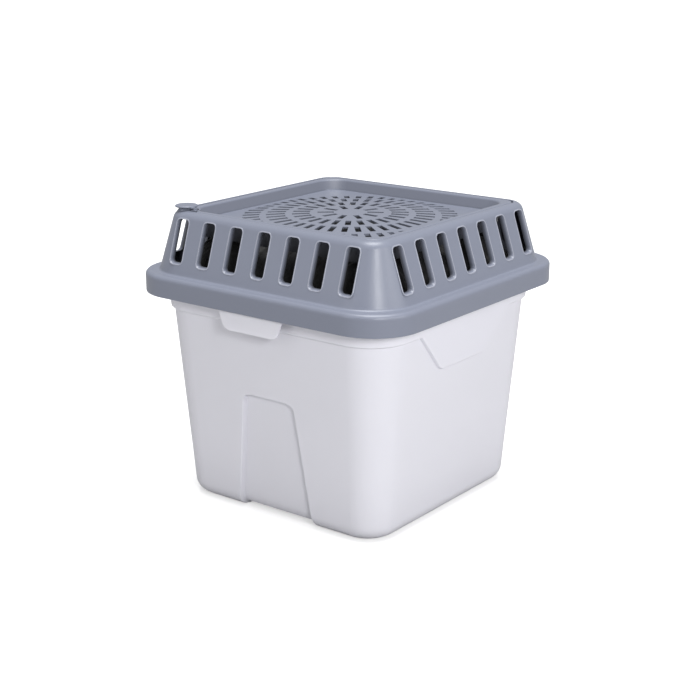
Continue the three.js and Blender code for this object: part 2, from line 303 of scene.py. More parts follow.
def taperAt(low, high, z, grow):
    # half width and corner at a height between two sections, each (z, half, corner)
    share = (z - low[0]) / (high[0] - low[0])
    return between(low[1], high[1], share) + grow, between(low[2], high[2], share) + grow


def squareLoop(half, corner, z, flats=None, flatCount=4, arcSteps=10):
    # points round a rounded square, anticlockwise from the front face's left end
    points = []
    for side in range(4):
        turn = Matrix.Rotation(side * math.pi / 2, 3, "Z")
        reach = half - corner
        spots = flats[side % 2] if flats else evenFlats(reach, flatCount)
        for along, out in spots:
            points.append(turn @ Vector((max(-reach, min(reach, along)), -half - out, z)))
        for step in range(1, arcSteps):
            angle = step / arcSteps * math.pi / 2 - math.pi / 2
            points.append(turn @ Vector((
                reach + corner * math.cos(angle), -reach + corner * math.sin(angle), z)))
    return points


def meshObject(name, mesh, material):
    piece = bpy.data.objects.new(name, mesh)
    scene.collection.objects.link(piece)
    mesh.materials.clear()
    mesh.materials.append(material)
    return piece


def keepMesh(name, made, material):
    mesh = bpy.data.meshes.new(name)
    made.to_mesh(mesh)
    made.free()
    return meshObject(name, mesh, material)


def shellFromLoops(name, loops, material, ring=False):
    # skins loops of equal length; the ends meet when ring is set and are capped otherwise
    made = bmesh.new()
    rows = [[made.verts.new(point * mm) for point in loop] for loop in loops]
    count = len(rows[0])
    pairs = list(zip(rows, rows[1:] + rows[:1])) if ring else list(zip(rows, rows[1:]))
    for low, high in pairs:
        for index in range(count):
            after = (index + 1) % count
            made.faces.new((low[index], low[after], high[after], high[index]))
    if not ring:
        for row, flip in ((rows[0], True), (rows[-1], False)):
            middle = made.verts.new(sum((vert.co for vert in row), Vector()) / count)
            for index in range(count):
                after = (index + 1) % count
                corners = (row[after], row[index], middle) if flip else (row[index], row[after], middle)
                made.faces.new(corners)
    bmesh.ops.remove_doubles(made, verts=made.verts, dist=2e-6)
    bmesh.ops.recalc_face_normals(made, faces=made.faces)
    return keepMesh(name, made, material)


def lathe(name, profile, centre, material, steps=48):
    # profile is (radius, z) from the lower axis point round to the upper one
    loops = []
    for radius, z in profile:
        radius = max(radius, 0.01)
        loops.append([
            Vector((centre[0] + radius * math.cos(2 * math.pi * step / steps),
                    centre[1] + radius * math.sin(2 * math.pi * step / steps), z))
            for step in range(steps)])
    return shellFromLoops(name, loops, material)


def prism(name, outline, near, far, material, bevel=0.0):
    # an outline in x and z, given a thickness along y
    made = bmesh.new()
    front = [made.verts.new(Vector((x, near, z)) * mm) for x, z in outline]
    back = [made.verts.new(Vector((x, far, z)) * mm) for x, z in outline]
    made.faces.new(front)
    made.faces.new(list(reversed(back)))
    for index in range(len(outline)):
        after = (index + 1) % len(outline)
        made.faces.new((front[after], front[index], back[index], back[after]))
    if bevel:
        rims = [edge for edge in made.edges if len({round(v.co.y, 6) for v in edge.verts}) == 1]
        bmesh.ops.bevel(made, geom=rims, offset=bevel * mm, segments=3, profile=0.5, affect="EDGES")
    bmesh.ops.recalc_face_normals(made, faces=made.faces)
    return keepMesh(name, made, material)


def block(name, low, high, material, bevel=0.0):
    made = bmesh.new()
    bmesh.ops.create_cube(made, size=1.0)
    size = [b - a for a, b in zip(low, high)]
    middle = [(a + b) / 2 for a, b in zip(low, high)]
    for vert in made.verts:
        vert.co = Vector([(vert.co[axis] * size[axis] + middle[axis]) * mm for axis in range(3)])
    if bevel:
        bmesh.ops.bevel(made, geom=list(made.edges), offset=bevel * mm, segments=3, profile=0.5,
                        affect="EDGES")
    return keepMesh(name, made, material)


def turnMesh(piece, degrees):
    piece.data.transform(Matrix.Rotation(math.radians(degrees), 4, "Z"))
    return piece


def settle(piece):
    # the evaluated result becomes the piece's own plain mesh
    bpy.context.view_layer.update()
    graph = bpy.context.evaluated_depsgraph_get()
    mesh = bpy.data.meshes.new_from_object(piece.evaluated_get(graph), depsgraph=graph)
    piece.modifiers.clear()
    old = piece.data
    mesh.name = old.name
    piece.data = mesh
    bpy.data.meshes.remove(old)
    return piece


def combine(piece, tools, operation):
    # joins with, cuts by or keeps within other solids, which are used up
    for tool in tools:
        step = piece.modifiers.new(operation.lower(), "BOOLEAN")
        step.operation = operation
        step.solver = "MANIFOLD"
        step.object = tool
        settle(piece)
        bpy.data.objects.remove(tool)
    return piece


crispAngle = 30.0


def finishHard(piece, material):
    # one material, smooth faces, crisp edges past the angle, flats kept flat by area-weighted normals
    mesh = piece.data
    mesh.materials.clear()
    mesh.materials.append(material)
    for face in mesh.polygons:
        face.material_index = 0
        face.use_smooth = True
    mesh.set_sharp_from_angle(angle=math.radians(crispAngle))
    step = piece.modifiers.new("flats", "WEIGHTED_NORMAL")
    step.keep_sharp = True
    step.weight = 60
    return settle(piece)


def markPoints(piece, name, amountOf):
    # stores an amount from 0 to 1 at each point, for the material
    values = piece.data.attributes.new(name, "FLOAT", "POINT").data
    for vert, value in zip(piece.data.vertices, values):
        value.value = max(0.0, min(1.0, amountOf(vert.co / mm)))


def startTree(name, inputs):
    # an empty geometry tree with named inputs; gives the tree, its net and the inputs as wires
    tree = bpy.data.node_groups.new(name, "GeometryNodeTree")
    for label, kind in [("Geometry", "NodeSocketGeometry"), *inputs]:
        tree.interface.new_socket(name=label, in_out="INPUT", socket_type=kind)
    tree.interface.new_socket(name="Geometry", in_out="OUTPUT", socket_type="NodeSocketGeometry")
    net = Net(tree)
    entry = tree.nodes.new("NodeGroupInput")
    wires = {socket.name: Wire(net, socket) for socket in entry.outputs if socket.name}
    return tree, net, wires


def endTree(net, geometry, material):
    solid = net.add("GeometryNodeRealizeInstances", {}, {"Geometry": geometry})
    coloured = net.add("GeometryNodeSetMaterial", {}, {"Geometry": solid, "Material": material})
    net.add("NodeGroupOutput", {}, {0: coloured})


def runTree(piece, tree, values):
    step = piece.modifiers.new(tree.name, "NODES")
    step.node_group = tree
    for item in tree.interface.items_tree:
        if item.in_out == "INPUT" and item.name in values:
            step[item.identifier] = values[item.name]
    return settle(piece)


def turnedCopies(net, geometry, count, turn):
    # copies of a geometry about the upright axis, a turn in radians apart
    spots = net.add("GeometryNodeMeshLine", {}, {"Count": count, "Offset": (0.0, 0.0, 0.0)})
    index = net.add("GeometryNodeInputIndex")
    angle = net.add("ShaderNodeCombineXYZ", {}, {"Z": index * turn})
    return net.add("GeometryNodeInstanceOnPoints", {}, {
        "Points": spots, "Instance": geometry, "Rotation": angle})


def outlineCorner(start, corner, end, share):
    # a point on the round that replaces a corner
    return tuple(
        (1 - share) ** 2 * a + 2 * share * (1 - share) * b + share ** 2 * c
        for a, b, c in zip(start, corner, end))


def reachOnRound(start, corner, end, z):
    # how far out a corner's round is at a height
    low, high = 0.0, 1.0
    for _ in range(24):
        middle = (low + high) / 2
        if outlineCorner(start, corner, end, middle)[1] < z:
            low = middle
        else:
            high = middle
    return outlineCorner(start, corner, end, low)[0]


def roundedTrapezoid(bottomHalf, topHalf, bottom, top, roundBottom, roundTop, steps=6):
    corners = [(-bottomHalf, bottom, roundBottom), (bottomHalf, bottom, roundBottom),
               (topHalf, top, roundTop), (-topHalf, top, roundTop)]
    outline = []
    for index, (x, z, size) in enumerate(corners):
        if not size:
            outline.append((x, z))
            continue
        at = Vector((x, z))
        ends = [at + (Vector(corners[(index + way) % 4][:2]) - at).normalized() * size for way in (3, 1)]
        for step in range(steps + 1):
            outline.append(outlineCorner(ends[0], at, ends[1], step / steps))
    return outline


tubShape = {
    "fillet": 13.0,
    "base": (13.0, 108.2, 27.0),      # z, half, corner
    "mouth": (189.0, 121.7, 36.0),
    "wall": 2.4,
    "band": (174.6, 3.0),             # z, how far it stands out
    "flange": {"top": 204.9, "thickness": 2.4, "half": 136.9, "corner": 40.0,
               "lipBottom": 188.2, "lipThickness": 2.2},
    "tab": {"bottom": 172.5, "topHalf": 36.0, "bottomHalf": 28.0, "round": 5.0},
    "relief": {"bottom": 139.0, "topHalf": 68.0, "bottomHalf": 33.0, "round": 6.0},
    "recess": {"top": 110.5, "topHalf": 27.0, "bottomHalf": 42.0, "round": 7.0, "depth": 5.0,
               "rise": 4.0, "reach": 91.0, "foot": 41.0, "runOut": 10.0},
    # across the edge of a raised or sunk panel: how far outside it, and the share of its depth
    "step": [(1.1, 0.0), (0.7, 0.03), (0.4, 0.12), (0.15, 0.30), (0.0, 0.50), (-0.2, 0.70), (-0.5, 0.86),
             (-0.9, 0.955), (-1.5, 1.0)],
}


def tubSection(z, grow=0.0):
    return taperAt(tubShape["base"], tubShape["mouth"], z, grow)


def recessEdge(z, grow):
    # half width of the foot recess at a height; its sides are straight down to the run-out
    size = tubShape["recess"]
    runOut = size["runOut"]
    bottomHalf, topHalf, top = size["bottomHalf"] + grow, size["topHalf"] + grow, size["top"] + grow
    corner = Vector((topHalf, top))
    along = (Vector((bottomHalf, -runOut)) - corner).normalized() * size["round"]
    start, end = corner + along, Vector((topHalf - size["round"], top))
    if z <= start.y:
        return between(bottomHalf, topHalf, (z + runOut) / (top + runOut))
    if z >= top:
        return end.x
    return reachOnRound(start, corner, end, z)


def reliefEdge(z):
    # half width of the side relief at a height
    size = tubShape["relief"]
    corner = Vector((size["bottomHalf"], size["bottom"]))
    upper = Vector((size["topHalf"], tubShape["band"][0] + 2.0))
    start = Vector((size["bottomHalf"] - size["round"], size["bottom"]))
    end = corner + (upper - corner).normalized() * size["round"]
    if z <= start.y:
        return start.x
    if z >= end.y:
        return min(between(corner.x, upper.x, (z - corner.y) / (upper.y - corner.y)), upper.x)
    return reachOnRound(start, corner, end, z)


def steppedFlats(reach, edge, depth):
    # spots along a face whose columns follow a raised or sunk panel's edge
    shares = tubShape["step"]
    left = [(between(-reach, -(edge + shares[0][0]), index / 3), 0.0) for index in range(3)]
    left += [(-(edge + offset), depth * share) for offset, share in shares]
    inner = edge + shares[-1][0]
    middle = [(between(-inner, inner, index / 8), depth) for index in range(1, 8)]
    right = [(-along, out) for along, out in reversed(left)]
    return left + middle + right


def tubLoop(z, grow=0.0, band=0.0, relief=0.0, recess=0.0, section=None, toe=0.0, reach=None):
    half, corner = section or tubSection(z, grow)
    flatReach = half - corner
    front = steppedFlats(flatReach, recessEdge(z, -grow), recess)
    side = steppedFlats(flatReach, reliefEdge(z), relief - band)
    points = squareLoop(half + band, corner + band, z, [front, side])
    if toe:
        perSide = len(front) + 9
        for face in (0, 2):
            for index, (along, out) in enumerate(front):
                share = out / recess if recess else 0.0
                point = points[face * perSide + index]
                point.z = between(point.z, max(point.z, toe), share)
    return points


def tubRows(grow):
    # the side wall from the fillet's top to the band, as (z, recess share, relief share)
    recess, relief = tubShape["recess"], tubShape["relief"]
    recessTop = recess["top"] - grow
    step = tubShape["step"]
    rows = [(z, 1.0, 0.0) for z in (13.0, 16.0, 40.0, 75.0, 98.0)]
    rows += [(recessTop - drop, 1.0, 0.0) for drop in (8.0, 6.6, 5.2, 3.8, 2.6)]
    rows += [(recessTop + offset, share, 0.0) for offset, share in reversed(step)]
    rows.append((recessTop + 4.0, 0.0, 0.0))
    if grow == 0.0:
        low = relief["bottom"]
        rows.append((low - 5.0, 0.0, 0.0))
        rows += [(low - offset, 0.0, share) for offset, share in step]
        rows += [(low + rise, 0.0, 1.0) for rise in (2.1, 2.8, 3.6, 4.4, 6.0, 20.0)]
    return rows


def makeTub():
    wall = tubShape["wall"]
    flange, recess = tubShape["flange"], tubShape["recess"]
    bandZ, proud = tubShape["band"]
    fillet = tubShape["fillet"]
    baseHalf, baseCorner = tubShape["base"][1:]
    depth = -recess["depth"]

    def filletLoops(grow, floorZ, toe, steps=7):
        loops = []
        for step in range(steps):
            angle = (1 - step / steps) * math.pi / 2
            inset = fillet * (1 - math.cos(angle))
            z = max(fillet * (1 - math.sin(angle)), floorZ)
            section = (baseHalf - inset + grow, baseCorner - 0.6 * inset + grow)
            loops.append(tubLoop(z, grow, recess=depth, section=section, toe=toe))
        return loops

    loops = []
    lowHalf = baseHalf - fillet
    underside = (recess["reach"] - 0.4, baseCorner - 0.6 * fillet - 4.0)
    flats = steppedFlats(underside[0] - underside[1], recess["foot"], 0.0)
    loops.append(squareLoop(*underside, 0.0, [flats] * 2))
    edgeSection = (lowHalf - 0.5, baseCorner - 0.6 * fillet - 0.5)
    loops.append(tubLoop(0.0, recess=-(lowHalf - 0.5 - recess["reach"] + 0.1), section=edgeSection))
    loops += filletLoops(0.0, 0.0, recess["rise"])
    for z, sunk, raised in tubRows(0.0):
        loops.append(tubLoop(z, recess=depth * sunk, relief=proud * raised, toe=recess["rise"]))
    for offset, share in tubShape["step"]:
        loops.append(tubLoop(bandZ - offset, band=proud * share, relief=proud))
    underFlange = flange["top"] - flange["thickness"]
    for z in (186.0, underFlange - 1.2):
        loops.append(tubLoop(z, band=proud, relief=proud))
    lipInner = flange["half"] - flange["lipThickness"]
    thin = flange["lipThickness"]
    topHalf, topCorner = tubSection(underFlange, proud)
    rim = [
        (topHalf + 0.3, topCorner, underFlange - 0.3), (topHalf + 1.2, topCorner + 0.6, underFlange),
        (lipInner - 0.8, flange["corner"] - thin - 0.8, underFlange),
        (lipInner, flange["corner"] - thin, underFlange - 0.8),
        (lipInner, flange["corner"] - thin, flange["lipBottom"] + 0.5),
        (lipInner + 0.5, flange["corner"] - thin + 0.5, flange["lipBottom"]),
        (flange["half"] - 0.5, flange["corner"] - 0.5, flange["lipBottom"]),
        (flange["half"], flange["corner"], flange["lipBottom"] + 0.5),
        (flange["half"], flange["corner"], flange["top"] - 1.2),
        (flange["half"] - 0.35, flange["corner"] - 0.35, flange["top"] - 0.35),
        (flange["half"] - 1.2, flange["corner"] - 1.2, flange["top"]),
    ]
    mouthHalf, mouthCorner = tubSection(flange["top"], proud - wall)
    seatZ = bandZ + wall
    seatHalf, seatCorner = tubSection(seatZ, proud - wall)
    lowHalfIn, lowCornerIn = tubSection(seatZ, -wall)
    rim += [
        (mouthHalf + 0.8, mouthCorner + 0.8, flange["top"]), (mouthHalf, mouthCorner, flange["top"] - 0.8),
        (seatHalf, seatCorner, seatZ + 0.4), (seatHalf - 0.4, seatCorner - 0.4, seatZ),
        (lowHalfIn + 0.5, lowCornerIn + 0.5, seatZ), (lowHalfIn, lowCornerIn, seatZ - 0.5),
    ]
    for half, corner, z in rim:
        reach = half - corner
        edges = [recessEdge(z, 0.0), reliefEdge(z)]
        loops.append(squareLoop(half, corner, z, [steppedFlats(reach, edge, 0.0) for edge in edges]))
    for z, sunk, raised in reversed(tubRows(-wall)):
        loops.append(tubLoop(z, -wall, recess=depth * sunk, toe=recess["rise"] + wall))
    loops += list(reversed(filletLoops(-wall, wall, recess["rise"] + wall)))
    inside = (lowHalf - wall - 9.0, baseCorner - 0.6 * fillet - wall - 6.0)
    loops.append(squareLoop(*inside, wall, [steppedFlats(inside[0] - inside[1], recess["foot"], 0.0)] * 2))
    piece = shellFromLoops("tubShell", loops, tubWhite)
    tab = tubShape["tab"]
    tabs = []
    for turn in (0, 180):
        outline = roundedTrapezoid(tab["bottomHalf"], tab["topHalf"], tab["bottom"], 193.0, tab["round"], 0.0)
        plate = prism("tab", outline, -flange["half"] + 0.05, -lipInner - 0.05, tubWhite, bevel=0.5)
        tabs.append(turnMesh(plate, turn))
    combine(piece, tabs, "UNION")
    finishHard(piece, tubWhite)
    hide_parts("tub")
    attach(piece, "base")
    return piece


tub = makeTub()
print("tub", len(tub.data.polygons), "faces")


lidShape = {
    "skirt": {"bottom": 189.0, "top": 207.7, "half": 140.0, "corner": 43.0, "wall": 2.4, "edge": 4.0},
    "foot": (207.7, 130.6, 41.0),       # z, half, corner
    "shoulder": (253.8, 115.16, 20.56),
    "shoulderRound": 8.5,
    "wall": 2.4,
    "seat": {"bottom": 254.7, "top": 256.4, "half": 102.0, "corner": 22.0},
    "seam": {"half": 106.5, "corner": 12.0},
    "footRound": 2.2,
    "shadeDepth": (1.4, 2.8),           # where the dark inside starts, and how far it takes
}

slotShape = {
    "perFace": 7,
    "pitch": 30.4,
    "width": 12.2,
    "bottom": 218.0,
    "top": 253.6,
    "round": 3.6,
    # depth below the wall's outside, and growth of the outline there
    "collar": [(-0.28, 1.3), (-0.22, 1.45), (0.1, 1.75), (1.2, 1.75), (1.3, 1.5), (4.8, 1.5)],
    "flare": [(-4.0, 0.8), (-0.28, 0.8), (-0.18, 0.66), (0.4, 0.42), (1.0, 0.18), (1.8, 0.0), (9.0, 0.0)],
}

spoutShape = {
    "x": -101.0, "y": -101.0, "bore": 5.0, "land": 9.9,
    "neck": [(0.0, 254.7), (9.2, 254.7), (9.0, 257.0), (8.3, 258.6), (7.3, 259.8), (6.7, 260.6),
             (6.5, 261.0), (6.2, 261.4), (0.0, 261.4)],
}


def lidSection(z, grow=0.0):
    return taperAt(lidShape["foot"], lidShape["shoulder"], z, grow)


def shoulderLean():
    low, high = lidShape["foot"], lidShape["shoulder"]
    return math.atan((low[1] - high[1]) / (high[0] - low[0]))


def shoulderSections(steps):
    lean, radius = shoulderLean(), lidShape["shoulderRound"]
    z, half, corner = lidShape["shoulder"]
    sections = []
    for step in range(steps + 1):
        angle = between(lean, math.pi / 2, step / steps)
        inset = radius * (math.cos(lean) - math.cos(angle))
        sections.append((half - inset, corner - inset, z + radius * (math.sin(angle) - math.sin(lean))))
    return sections


def lidOuterHalf(z):
    # the wall's outside, and the shoulder's round above it
    shoulderZ, half, corner = lidShape["shoulder"]
    if z <= shoulderZ:
        return lidSection(z)[0]
    lean, radius = shoulderLean(), lidShape["shoulderRound"]
    rise = min((z - shoulderZ) / radius + math.sin(lean), 1.0)
    return half - radius * (math.cos(lean) - math.cos(math.asin(rise)))


def slotLoop(grow, depth):
    # one outline of the slot, on a surface parallel to the wall's outside
    half = slotShape["width"] / 2 + grow
    outline = roundedTrapezoid(half, half, slotShape["bottom"] - grow, slotShape["top"] + grow,
                               slotShape["round"] + grow, slotShape["round"] + grow, 7)
    return [Vector((x, -lidOuterHalf(z) + depth, z)) for x, z in outline]


def lidEnvelope(name):
    sections = [(*lidSection(212.0), 212.0), *shoulderSections(8)]
    return shellFromLoops(name, [squareLoop(*section) for section in sections], lidGrey)


def slotTree():
    tree, net, wires = startTree("lidSlots", [
        ("Per Face", "NodeSocketInt"), ("Pitch", "NodeSocketFloat"), ("Slot", "NodeSocketObject"),
        ("Collar", "NodeSocketObject"), ("Material", "NodeSocketMaterial")])

    def everyPlace(source):
        start = net.add("ShaderNodeCombineXYZ", {}, {
            "X": (wires["Per Face"] - 1.0) * wires["Pitch"] * -0.5})
        pitch = net.add("ShaderNodeCombineXYZ", {}, {"X": wires["Pitch"]})
        row = net.add("GeometryNodeMeshLine", {}, {
            "Count": wires["Per Face"], "Start Location": start, "Offset": pitch})
        shape = net.add("GeometryNodeObjectInfo", {}, {"Object": wires[source]}, "Geometry")
        placed = net.add("GeometryNodeInstanceOnPoints", {}, {"Points": row, "Instance": shape})
        return net.add("GeometryNodeRealizeInstances", {}, {
            "Geometry": turnedCopies(net, placed, 4, math.pi / 2)})

    joined = net.add("GeometryNodeMeshBoolean", {"operation": "UNION", "solver": "MANIFOLD"}, {
        "Mesh 2": [wires["Geometry"], everyPlace("Collar")]})
    cut = net.add("GeometryNodeMeshBoolean", {"operation": "DIFFERENCE", "solver": "MANIFOLD"}, {
        "Mesh 1": joined, "Mesh 2": everyPlace("Slot")})
    endTree(net, cut, wires["Material"])
    return tree


def insetOf(point, half, corner):
    # distance inwards from a rounded square's outline
    reach = half - corner
    return corner - math.hypot(max(abs(point.x) - reach, 0.0), max(abs(point.y) - reach, 0.0))


def slotRidge(point):
    # the fine ridge round each slot stands just proud of the wall; 1 there, for the painted highlight
    if point.z < slotShape["bottom"] - 3.0 or max(abs(point.x), abs(point.y)) < 108.0:
        return 0.0
    proud = max(abs(point.x), abs(point.y)) - lidOuterHalf(point.z)
    return 1.0 if proud > 0.12 and min(abs(point.x), abs(point.y)) < 101.0 else 0.0


def lidPaintedShade(point):
    # painted shade: 0 on the outside, 1 on the inside and in the seam round the tray
    seat, seam = lidShape["seat"], lidShape["seam"]
    if point.z > seat["bottom"] + 0.5:
        inSeam = insetOf(point, seam["half"] + 0.1, seam["corner"] + 0.1) > -0.5
        return 1.0 if point.z < seat["top"] + 0.1 and inSeam else 0.0
    if point.z < lidShape["foot"][0] - 1.0:
        half, corner = lidShape["skirt"]["half"], lidShape["skirt"]["corner"]
    else:
        half, corner = lidOuterHalf(point.z), lidSection(point.z)[1]
    start, run = lidShape["shadeDepth"]
    return (insetOf(point, half, corner) - start) / run


def makeLidFrame():
    skirt, seat, seam, wall = lidShape["skirt"], lidShape["seat"], lidShape["seam"], lidShape["wall"]
    skirtHalf, skirtCorner, edge = skirt["half"], skirt["corner"], skirt["edge"]
    footZ = lidShape["foot"][0]
    sections = [
        (skirtHalf - 0.6, skirtCorner - 0.6, skirt["bottom"]),
        (skirtHalf - 0.15, skirtCorner - 0.15, skirt["bottom"] + 0.2),
        (skirtHalf, skirtCorner, skirt["bottom"] + 0.7),
        (skirtHalf, skirtCorner, skirt["top"] - edge - 1.5),
    ]
    for step in range(7):
        angle = step / 6 * math.pi / 2
        inset = edge * (1 - math.cos(angle))
        sections.append((skirtHalf - inset, skirtCorner - inset, skirt["top"] - edge * (1 - math.sin(angle))))
    foot = lidShape["footRound"]
    lean = shoulderLean()
    for step in range(6):
        angle = step / 5 * (math.pi / 2 - lean)
        out = foot * (1 - math.sin(angle))
        z = footZ + foot * (1 - math.cos(angle)) * 0.9
        half, corner = lidSection(z)
        sections.append((half + out * 0.8, corner + out * 0.8, z))
    half, corner = lidSection(footZ + foot + 1.5)
    sections.append((half, corner, footZ + foot + 1.5))
    sections.append((*lidSection(lidShape["shoulder"][0] - 1.5), lidShape["shoulder"][0] - 1.5))
    sections += shoulderSections(9)
    topZ = sections[-1][2]
    sections += [
        (seam["half"] + 0.35, seam["corner"] + 0.35, topZ - 0.12),
        (seam["half"] + 0.08, seam["corner"] + 0.08, topZ - 0.4),
        (seam["half"], seam["corner"], topZ - 0.9),
        (seam["half"], seam["corner"], seat["top"]),
        (seat["half"], seat["corner"], seat["top"]),
        (seat["half"], seat["corner"], seat["bottom"]),
    ]
    sections += [(*lidSection(z, -wall), z) for z in (seat["bottom"], footZ - wall)]
    sections += [
        (skirtHalf - wall, skirtCorner - wall, footZ - wall),
        (skirtHalf - wall, skirtCorner - wall, skirt["bottom"] + 0.4),
        (skirtHalf - wall + 0.4, skirtCorner - wall + 0.4, skirt["bottom"]),
    ]
    loops = [squareLoop(half, corner, z, flatCount=2, arcSteps=14) for half, corner, z in sections]
    piece = shellFromLoops("lidShell", loops, lidGrey, ring=True)

    # the land in one corner, cut to the lid's own outline, carries the neck
    at = (spoutShape["x"], spoutShape["y"])
    disc = lathe("landDisc", [(0, seat["bottom"]), (spoutShape["land"], seat["bottom"]),
                              (spoutShape["land"], 262.0), (0, 262.0)], at, lidGrey)
    bar = block("landBar", (at[0], -112.0, seat["bottom"]), (-86.0, -102.1, 262.0), lidGrey)
    land = combine(combine(disc, [bar], "UNION"), [lidEnvelope("landLimit")], "INTERSECT")
    neck = lathe("neck", spoutShape["neck"], at, lidGrey)
    combine(piece, [land, neck], "UNION")

    slot = shellFromLoops(
        "slotTool", [slotLoop(grow, depth) for depth, grow in slotShape["flare"]], lidGrey)
    collar = shellFromLoops(
        "collarTool", [slotLoop(grow, depth) for depth, grow in slotShape["collar"]], lidGrey)
    runTree(piece, slotTree(), {
        "Per Face": slotShape["perFace"], "Pitch": slotShape["pitch"] * mm, "Slot": slot,
        "Collar": collar, "Material": lidGrey})
    bpy.data.objects.remove(slot)
    bpy.data.objects.remove(collar)
    bore = lathe("boreTool", [(0, 245.0), (spoutShape["bore"], 245.0), (spoutShape["bore"], 265.0),
                              (0, 265.0)], at, lidGrey)
    combine(piece, [bore], "DIFFERENCE")
    # painted shade on the inside surfaces, the slots' returns and the seam round the tray
    markPoints(piece, "deep", lidPaintedShade)
    # 1 on the ridges round the slots, for their painted highlight
    markPoints(piece, "rubbed", slotRidge)
    finishHard(piece, lidGrey)
    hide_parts("lid_frame")
    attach(piece, "lid")
    return piece


lidFrame = makeLidFrame()
print("lid frame", len(lidFrame.data.polygons), "faces")


trayShape = {
    "rim": {"bottom": 256.7, "top": 259.6, "half": 105.2, "corner": 10.7},
    "skirt": {"bottom": 237.0, "half": 97.5, "corner": 18.0, "topHalf": 101.5, "topCorner": 21.5},
    "dish": {"half": 94.8, "corner": 17.0, "topHalf": 99.6, "topCorner": 20.0},
    "crown": {"z": 253.4, "fall": 0.0004, "flatFrom": 95.0, "thickness": 2.0},
    "grilleHalf": 89.0,
    "grilleCorner": 16.0,
    "rings": [(14.7, 29.0, 10), (36.0, 51.4, 26), (57.7, 74.3, 38), (80.3, 95.0, 50)],
    "slotWidth": 5.0,
    "clearance": 10.5,
    "wallShade": 0.38,
}


def crownHeight(radius):
    crown = trayShape["crown"]
    return crown["z"] - crown["fall"] * min(radius, crown["flatFrom"]) ** 2


def floorLoop(half, corner, drop):
    points = squareLoop(half, corner, 0.0, flatCount=8)
    for point in points:
        point.z = crownHeight(math.hypot(point.x, point.y)) - drop
    return points


def grilleTree():
    rings = trayShape["rings"]
    inputs = [("Slot Width", "NodeSocketFloat"), ("Field", "NodeSocketObject"),
              ("Material", "NodeSocketMaterial")]
    for index in range(len(rings)):
        inputs += [(f"Inner {index}", "NodeSocketFloat"), (f"Outer {index}", "NodeSocketFloat"),
                   (f"Count {index}", "NodeSocketInt")]
    tree, net, wires = startTree("grilleSlots", inputs)
    every = []
    for index in range(len(rings)):
        inner, outer, count = (wires[f"{word} {index}"] for word in ("Inner", "Outer", "Count"))
        size = net.add("ShaderNodeCombineXYZ", {}, {
            "X": outer - inner, "Y": wires["Slot Width"], "Z": 12 * mm})
        bar = net.add("GeometryNodeMeshCube", {}, {"Size": size})
        away = net.add("ShaderNodeCombineXYZ", {}, {"X": (inner + outer) * 0.5, "Z": 250 * mm})
        placed = net.add("GeometryNodeTransform", {}, {"Geometry": bar, "Translation": away})
        every.append(turnedCopies(net, placed, count, 2 * math.pi / count))
    bars = net.add("GeometryNodeRealizeInstances", {}, {
        "Geometry": net.add("GeometryNodeJoinGeometry", {}, {"Geometry": every})})
    field = net.add("GeometryNodeObjectInfo", {}, {"Object": wires["Field"]}, "Geometry")
    kept = net.add("GeometryNodeMeshBoolean", {"operation": "INTERSECT", "solver": "MANIFOLD"}, {
        "Mesh 2": [bars, field]})
    cut = net.add("GeometryNodeMeshBoolean", {"operation": "DIFFERENCE", "solver": "MANIFOLD"}, {
        "Mesh 1": wires["Geometry"], "Mesh 2": kept})
    endTree(net, cut, wires["Material"])
    return tree


def trayPaintedShade(point):
    # painted shade: 0 on the floor and rim, part of the way on the dish's wall, growing dark down the slots'
    # walls, 1 on the underside
    dish, rim = trayShape["dish"], trayShape["rim"]
    inset = insetOf(point, dish["topHalf"], dish["topCorner"])
    if point.z > rim["top"] - 1.5:
        return 0.0
    if -0.6 < inset < 5.3 and point.z > crownHeight(trayShape["crown"]["flatFrom"]) + 0.5:
        return trayShape["wallShade"]
    if point.z > rim["bottom"] - 0.5:
        return 0.0
    if inset > 3.0 and point.z > crownHeight(0) - 4.2:
        radius = math.hypot(point.x, point.y)
        return (crownHeight(radius) - point.z - 0.3) / 1.2
    return 1.0 if point.z < 248.5 or inset < 0.9 else 0.0


